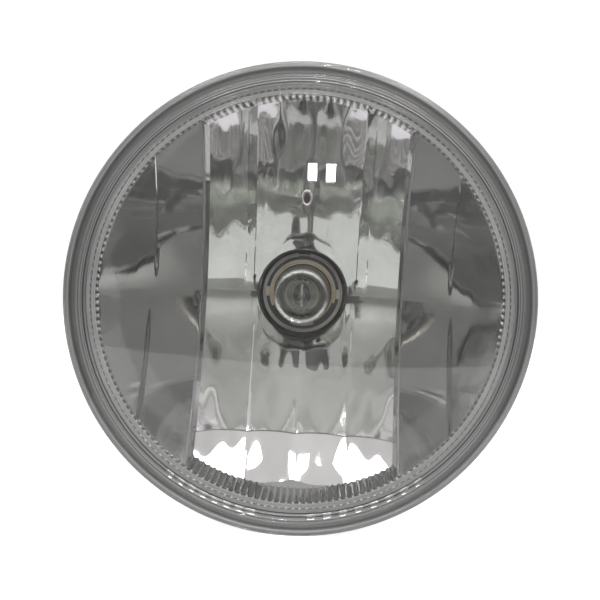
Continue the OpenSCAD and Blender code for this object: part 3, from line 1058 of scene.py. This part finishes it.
    def hole_lip(self) -> bmesh.types.BMesh:
        """Builds the thin rolled lip round the bulb's hole.

        Returns:
            The closed ring.
        """
        r, round_r = self.at.hole_r, self.lip_t
        front, rear = self.hole_front + round_r, self.hole_rear
        outline = [(r, rear), (r, front)] + arc((r + round_r, front), round_r, 180, 360, 6)
        outline += [(r + 2 * round_r, front + 0.8 * MM), (r + round_r, rear)]
        return lathe(outline, closed=True, steps=128)

    def build(
        self, coating: bpy.types.Material, dull: bpy.types.Material, lip_painted_shade: bpy.types.Material
    ) -> None:
        """Makes the mirror's pieces in front of the CAD bowl.

        Args:
            coating: The metallised finish.
            dull: The same coating, thinner, on the flutes, with painted shade in their valleys.
            lip_painted_shade: The near-black finish of the lip round the bulb's hole: painted
                shade.
        """
        for name, bm, finish, crease in (
            ("mirror_strips", self.face_mesh(), coating, 12.0),
            ("fluted_wall", self.wall_mesh(), dull, 40.0),
        ):
            made = piece(name, bm, finish, "lamp", crease=crease)
            thick = made.modifiers.new("skin", "SOLIDIFY")
            thick.thickness = self.skin
            thick.offset = -1.0
        piece("bulb_hole_lip", self.hole_lip(), lip_painted_shade, "lamp")
        piece("vent_slot_rim", self.vent_rim(), coating, "lamp")


# ----------------------------------------------------------------------------- bulb


@dataclass
class Bulb:
    """The halogen bulb: its glass and coil, what closes the glass, and its base's bright edge."""

    at: Layout
    glass_t: float = 0.9 * MM
    front_l: float = 6.0 * MM
    coil_r: float = 0.72 * MM
    coil_l: float = 5.0 * MM
    turns: int = 13
    wire_r: float = 0.13 * MM
    pinch_w: float = 10.4 * MM
    pinch_t: float = 3.6 * MM
    pinch_r: float = 0.7 * MM
    body_back: float = 9.0 * MM
    shoulder_r: float = 1.6 * MM
    bead: tuple[float, float, float] = (2.3 * MM, 1.3 * MM, 3.3 * MM)
    bead_back: float = 6.0 * MM
    disc_r: float = 4.3 * MM
    disc_t: float = 0.4 * MM
    disc_back: float = 7.6 * MM
    ring_r: float = 10.35 * MM
    ring_t: float = 0.24 * MM

    def envelope(self) -> bmesh.types.BMesh:
        """Builds the domed glass with its flat pinch.

        Returns:
            The closed glass.
        """
        r = self.at.glass_r
        inner = r - self.glass_t
        tip = self.at.glass_tip
        start = tip + self.front_l
        end = self.at.focus + self.body_back
        bend = self.shoulder_r
        outline = [
            (r * math.sin(math.radians(a)), start - self.front_l * math.cos(math.radians(a)))
            for a in range(0, 91, 5)
        ]
        outline += [(r, end - 1.0 * MM)] + arc((r - bend, end - 0.6 * MM), bend, 10, 60, 6)
        outline += [(self.pinch_t / 2, end + 3.4 * MM), (0.0, end + 3.4 * MM)]
        depth = self.front_l - self.glass_t
        hollow = [(0.0, end - 0.4 * MM), (inner - 2.4 * MM, end - 0.4 * MM)]
        hollow += arc((inner - bend, end - 2.0 * MM), bend, 80, 0, 6)
        hollow += [
            (inner * math.sin(math.radians(a)), start - depth * math.cos(math.radians(a)))
            for a in range(90, -1, -5)
        ]
        outside = lathe(outline, closed=False, steps=96)
        inside = lathe(hollow, closed=False, steps=96)
        bmesh.ops.reverse_faces(inside, faces=inside.faces)
        length = self.at.glass_end - end - 2.6 * MM
        middle = Vector((0.0, self.at.glass_end - length / 2, 0.0))
        pinch = soft_box(Vector((self.pinch_t, length, self.pinch_w)), middle, self.pinch_r)
        return join([outside, inside, pinch])

    def coil(self) -> bmesh.types.BMesh:
        """Builds the filament as a real coil.

        Returns:
            The coil's wire.
        """
        per_turn = 14
        points = []
        for i in range(self.turns * per_turn + 1):
            turn = math.tau * i / per_turn
            y = self.at.focus - self.coil_l / 2 + self.coil_l * i / (self.turns * per_turn)
            points.append(Vector((self.coil_r * math.cos(turn), y, self.coil_r * math.sin(turn))))
        return wire(points, self.wire_r, sides=8)

    def stem(self) -> bmesh.types.BMesh:
        """Builds the oval bead that holds the leads inside the glass; its near-black colour is
        painted shade.

        Returns:
            The closed bead.
        """
        bead = bmesh.new()
        bmesh.ops.create_uvsphere(bead, u_segments=40, v_segments=24, radius=1.0)
        bmesh.ops.scale(bead, vec=self.bead, verts=bead.verts)
        return shift(bead, y=self.at.focus + self.bead_back)

    def stem_disc(self) -> bmesh.types.BMesh:
        """Builds the grey disc that closes the glass behind the bead.

        Returns:
            The closed disc.
        """
        front = self.at.focus + self.disc_back
        rear = front + self.disc_t
        outline = [(0.0, front), (self.disc_r, front), (self.disc_r, rear), (0.0, rear)]
        return lathe(outline, closed=False, steps=64)

    def face_ring(self) -> bmesh.types.BMesh:
        """Builds the rounded bright edge of the base's front face.

        Returns:
            The closed ring.
        """
        centre = (self.ring_r, self.at.base_front + 0.05 * MM)
        return lathe(arc(centre, self.ring_t, 0, 360, 16)[:-1], closed=True, steps=128)

    def build(
        self, glass: bpy.types.Material, tungsten: bpy.types.Material, dark: bpy.types.Material,
        grey: bpy.types.Material, edge: bpy.types.Material,
    ) -> None:
        """Makes the glass and the coil in place of their CAD nodes.

        Args:
            glass: The bulb glass.
            tungsten: The coil's finish.
            dark: The bead's finish, near black: painted shade.
            grey: The disc's finish.
            edge: The finish of the base's edge ring.
        """
        piece("stem_bead", self.stem(), dark, "bulb")
        piece("stem_disc", self.stem_disc(), grey, "bulb")
        piece("base_face_ring", self.face_ring(), edge, "bulb")
        piece("bulb_envelope", self.envelope(), glass, "bulb", ("bulb_glass",))
        piece("filament_coil", self.coil(), tungsten, "bulb", ("filament",))


# --------------------------------------------------------------------------- studio


@dataclass(frozen=True)
class Softbox:
    """A rectangular studio light."""

    name: str
    place: tuple[float, float, float]
    size: tuple[float, float]
    power: float
    aim: tuple[float, float, float] = (0.0, 0.0, 0.0)

    def build(self) -> None:
        """Places the light, aimed at its target."""
        lamp = bpy.data.lights.new(self.name, "AREA")
        lamp.shape = "RECTANGLE"
        lamp.size, lamp.size_y = self.size
        lamp.energy = self.power
        made = bpy.data.objects.new(self.name, lamp)
        bpy.context.scene.collection.objects.link(made)
        made.location = self.place
        made.rotation_euler = (Vector(self.aim) - made.location).to_track_quat("-Z", "Y").to_euler()


@dataclass
class Studio:
    """The floor, the surroundings, the lights and the camera."""

    at: Layout
    distance: float = 0.400
    azimuth: float = 0.6
    elevation: float = 2.0
    roll: float = -3.0
    focal: float = 100.0
    sensor_w: float = 36.0
    floor_size: tuple[float, float] = (1.6, 1.2)
    floor_front: float = -0.20
    floor_gap: float = 0.3 * MM
    window_distance: float = 0.9
    window_height: float = 21.0
    window_size: tuple[float, float] = (0.024, 0.047)
    window_power: float = 0.35
    top_y: float = -0.34
    top_z: float = 0.9
    top_depth: float = 0.2
    top_power: float = 22.0

    def surroundings(self) -> None:
        """Builds the world: white to the camera, a soft grey studio to everything else."""
        world = bpy.data.worlds.new("studio")
        bpy.context.scene.world = world
        world.use_nodes = True
        t = Tree(world.node_tree)
        out = t.add("OutputWorld")
        place = t.add("TexCoord").outputs["Generated"]
        axes = t.add("SeparateXYZ")
        t.join(place, axes.inputs[0])
        blotches = t.maths("MULTIPLY_ADD", t.noise(place, 2.6, 1.0), 0.9, 0.55)
        height = t.add("ValToRGB")
        stops = [
            (0.0, 0.60), (0.34, 0.56), (0.42, 0.44), (0.50, 0.32), (0.545, 0.36), (0.59, 0.75),
            (0.67, 0.88), (0.74, 0.58), (0.80, 0.46), (0.90, 0.68), (1.0, 0.80),
        ]
        while len(height.color_ramp.elements) < len(stops):
            height.color_ramp.elements.new(0.5)
        for stop, (where, level) in zip(height.color_ramp.elements, stops):
            stop.position = where
            stop.color = (level, level * 0.985, level * 0.965, 1.0)
        t.join(t.maths("MULTIPLY_ADD", axes.outputs[2], 0.5, 0.5), height.inputs[0])
        dim = t.add("Background")
        t.join(height.outputs[0], dim.inputs[0])
        t.join(blotches, dim.inputs[1])
        white = t.add("Background")
        white.inputs[0].default_value = (1.0, 1.0, 1.0, 1.0)
        white.inputs[1].default_value = 1.05
        mix = t.add("MixShader")
        t.join(t.add("LightPath").outputs["Is Camera Ray"], mix.inputs[0])
        t.join(dim.outputs[0], mix.inputs[1])
        t.join(white.outputs[0], mix.inputs[2])
        t.join(mix.outputs[0], out.inputs["Surface"])

    def floor(self) -> None:
        """Builds the pale floor that the rim stands on."""
        bm = bmesh.new()
        bmesh.ops.create_grid(bm, x_segments=24, y_segments=24, size=0.5)
        bmesh.ops.scale(bm, vec=(*self.floor_size, 1.0), verts=bm.verts)
        shift(bm, y=self.floor_size[1] / 2 + self.floor_front, z=-self.at.rim_r - self.floor_gap)
        mesh = bpy.data.meshes.new("floor")
        bm.to_mesh(mesh)
        bm.free()
        made = bpy.data.objects.new("floor", mesh)
        bpy.context.scene.collection.objects.link(made)
        paper = bpy.data.materials.new("pale_floor")
        paper.use_nodes = True
        t = Tree(paper.node_tree)
        out = t.add("OutputMaterial")
        cloudy = t.add("MapRange")
        t.join(t.noise(t.add("TexCoord").outputs["Object"], 30.0, 5.0), cloudy.inputs["Value"])
        cloudy.inputs["To Min"].default_value = 0.86
        cloudy.inputs["To Max"].default_value = 0.9
        matte = t.add("BsdfDiffuse")
        t.join(cloudy.outputs[0], matte.inputs[0])
        lift = t.add("Emission")
        lift.inputs[0].default_value = (1.0, 1.0, 1.0, 1.0)
        glow = t.maths("MULTIPLY_ADD", t.add("LightPath").outputs["Is Camera Ray"], 0.55, 0.25)
        t.join(glow, lift.inputs[1])
        both = t.add("AddShader")
        t.join(matte.outputs[0], both.inputs[0])
        t.join(lift.outputs[0], both.inputs[1])
        t.join(both.outputs[0], out.inputs["Surface"])
        mesh.materials.append(paper)

    def lights(self) -> None:
        """Places the soft lights: two small windows above the camera and a row of top lights."""
        far, lift = self.window_distance, math.radians(self.window_height)
        for name, azimuth in (("window_left", 0.5), ("window_right", 3.9)):
            turn = math.radians(azimuth)
            spot = (far * math.sin(turn) * math.cos(lift), -far * math.cos(turn) * math.cos(lift),
                    far * math.sin(lift))
            Softbox(name, spot, self.window_size, self.window_power).build()
        for name, x, width in (("top_left", -0.42, 0.34), ("top_middle", -0.02, 0.26),
                               ("top_right", 0.40, 0.36)):
            power = self.top_power * width * self.top_depth
            Softbox(name, (x, self.top_y, self.top_z), (width, self.top_depth), power).build()

    def camera(self) -> None:
        """Places the camera in front of the lens."""
        bpy.context.view_layer.update()
        target = Vector((0.0, self.at.lens_back - 2.4 * MM, 0.0))
        a, e = math.radians(self.azimuth), math.radians(self.elevation)
        away = Vector((math.sin(a) * math.cos(e), -math.cos(a) * math.cos(e), math.sin(e)))
        lens = bpy.data.cameras.new("camera")
        lens.lens = self.focal
        lens.sensor_width = self.sensor_w
        lens.clip_start = 0.01
        made = bpy.data.objects.new("camera", lens)
        bpy.context.scene.collection.objects.link(made)
        made.location = target + away * self.distance
        look = (-away).to_track_quat("-Z", "Y").to_matrix().to_4x4()
        tilt = Matrix.Rotation(math.radians(-self.roll), 4, "Z")
        made.matrix_world = Matrix.Translation(made.location) @ look @ tilt
        bpy.context.scene.camera = made

    def build(self) -> None:
        """Builds the whole studio."""
        bpy.context.scene.view_settings.view_transform = "Standard"
        self.surroundings()
        self.floor()
        self.lights()
        self.camera()


# ----------------------------------------------------------------------------- main


@dataclass
class Dressing:
    """Puts finishes on the CAD nodes that stay as they are."""

    nodes: dict[str, bpy.types.Object]

    def dress(self, finish: Finish, *names: str) -> None:
        """Gives CAD nodes one finish.

        Args:
            finish: The finish.
            *names: The nodes.
        """
        made = finish.build()
        for name in names:
            mesh = self.nodes[name].data
            mesh.materials.clear()
            mesh.materials.append(made)
            log.info("%s: %s", name, finish.name)

    def build(self) -> None:
        """Dresses every CAD node that shows."""
        # The bowl's colour is cut to 7 % within about 12.6 mm of the axis: painted shade in the
        # bulb's bore.
        bore_painted_shade = ((0.0, 0.07), (0.21, 0.07), (0.24, 1.0), (1.0, 1.0))
        self.dress(PaintedRingShadeFinish("moulded_bowl", (0.24, 0.24, 0.245), (0.3, 0.3, 0.305), (0.42, 0.6),
                                bump=0.35, dust=0.25, inner_r=0.0, outer_r=60.0 * MM, rings=bore_painted_shade),
                   "reflector")
        self.dress(Finish("ring_plastic", (0.035, 0.035, 0.038), (0.05, 0.05, 0.054), (0.4, 0.55),
                          scale=1400.0, bump=0.4, dust=0.3), "socket_ring")
        self.dress(Finish("gasket_rubber", (0.02, 0.02, 0.02), (0.035, 0.035, 0.035), (0.6, 0.75)),
                   "socket_gasket")
        self.dress(Finish("zinc_steel", (0.62, 0.6, 0.55), (0.72, 0.7, 0.66), (0.25, 0.42),
                          metallic=1.0, scale=2200.0), "socket_screws")
        self.dress(Finish("red_silicone", (0.20, 0.012, 0.018), (0.27, 0.02, 0.026), (0.5, 0.65),
                          sheen=0.2, dust=0.3), "vent_cap")
        self.dress(Finish("vent_plug_red", (0.16, 0.008, 0.012), (0.24, 0.015, 0.02), (0.6, 0.8),
                          scale=3000.0, bump=0.6), "vent_filter")
        self.dress(Finish("drawn_wire", (0.5, 0.48, 0.44), (0.62, 0.6, 0.56), (0.2, 0.35),
                          metallic=1.0, scale=3000.0),
                   "support_lead_lower", "support_lead_upper", "seal_foil_lower",
                   "seal_foil_upper", "pin_lead_lower", "pin_lead_upper")
        self.dress(Finish("collar_steel", (0.12, 0.12, 0.115), (0.2, 0.2, 0.19), (0.25, 0.4),
                          metallic=1.0, scale=1500.0, anisotropy=0.4), "bulb_collar")
        # The clamp's ring inside about 7.8 mm from the axis is cut to a tenth of its brass colour:
        # painted shade; its ears outside keep the brass.
        clamp_ring_painted_shade = ((0.0, 0.1), (0.71, 0.1), (0.76, 1.0), (1.0, 1.0))
        self.dress(PaintedRingShadeFinish("clamp_brass", (0.34, 0.28, 0.17), (0.44, 0.37, 0.24), (0.3, 0.45),
                                metallic=0.9, scale=1800.0, inner_r=5.0 * MM, outer_r=9.0 * MM,
                                rings=clamp_ring_painted_shade), "collar_clamp")
        # Painted shade on the bulb base: its front face is darkened to about a seventh inside 8.1
        # mm from the axis, and all of the base behind y = 54.1 mm to under a tenth.
        face = ((0.0, 0.12), (0.28, 0.16), (0.42, 0.8), (0.8, 1.0), (1.0, 0.9))
        self.dress(PaintedRingShadeFinish("base_plastic", (0.52, 0.5, 0.47), (0.62, 0.6, 0.56), (0.3, 0.42),
                                scale=1600.0, bump=0.3, dust=0.1, coat=0.4, inner_r=7.0 * MM,
                                outer_r=11.0 * MM, rings=face, painted_shade_from_y=54.1 * MM, behind=0.085),
                   "bulb_base")
        self.dress(Finish("cement", (0.5, 0.47, 0.4), (0.62, 0.59, 0.52), (0.8, 0.95),
                          scale=2600.0, bump=0.6), "base_cement")
        self.dress(Finish("seal_silicone", (0.06, 0.03, 0.02), (0.1, 0.05, 0.035), (0.4, 0.55)),
                   "bulb_seal_ring")
        self.dress(Finish("tinned_brass", (0.62, 0.54, 0.38), (0.74, 0.67, 0.52), (0.2, 0.35),
                          metallic=1.0, scale=2000.0), "terminal_left", "terminal_right")


def main() -> None:
    """Builds the lamp's looks and its studio."""
    logging.basicConfig(level=logging.INFO, format="%(message)s")
    at = Layout.from_frame()
    Studio(at).build()
    lens_glass = Glass("lens_glass", (0.98, 0.98, 0.975)).build()
    bulb_glass = Glass("bulb_glass", (0.83, 0.85, 0.82), haze=0.01).build()
    # The sealant's grey carries painted shade in rings, in the grooves between its ridges.
    bond = PaintedRingShadeFinish("sealant_grey", (0.40, 0.40, 0.405), (0.48, 0.48, 0.485), (0.25, 0.4),
                        metallic=0.7, scale=700.0, bump=0.1, rings=RIM_GROOVE_PAINTED_SHADE).build()
    coating = Finish("mirror_coating", (0.80, 0.79, 0.81), (0.84, 0.83, 0.85), (0.02, 0.05),
                     metallic=1.0, scale=160.0, bump=0.04, depth=0.0002).build()
    tungsten = Finish("tungsten", (0.3, 0.3, 0.31), (0.4, 0.4, 0.41), (0.3, 0.45), metallic=1.0,
                      scale=4000.0).build()
    # The flutes' coating, with painted shade in the valleys between them.
    dull = FlutePaintedShadeFinish("flute_coating", (0.56, 0.575, 0.535), (0.66, 0.675, 0.635), (0.015, 0.04),
                        metallic=1.0, scale=300.0, bump=0.05).build()
    Lens(at).build(lens_glass, bond)
    # The lip round the bulb's hole is near black all round: painted shade in the gap round the
    # bulb.
    lip_painted_shade = Finish("hole_lip_painted_shade", (0.02, 0.02, 0.021), (0.035, 0.035, 0.036), (0.3, 0.45)).build()
    Mirror(at).build(coating, dull, lip_painted_shade)
    # The bead's near-black finish is painted shade inside the bulb.
    stem = Finish("bead_dark", (0.012, 0.014, 0.012), (0.02, 0.023, 0.02), (0.15, 0.3),
                  scale=1200.0).build()
    disc = Finish("stem_grey", (0.13, 0.14, 0.125), (0.19, 0.2, 0.18), (0.3, 0.45),
                  scale=1200.0).build()
    edge = Finish("ring_edge", (0.5, 0.49, 0.47), (0.6, 0.59, 0.57), (0.15, 0.25), coat=0.5,
                  scale=1500.0).build()
    Bulb(at).build(bulb_glass, tungsten, stem, disc, edge)
    Dressing(frame["nodes"]).build()


if __name__ == "__main__":
    main()
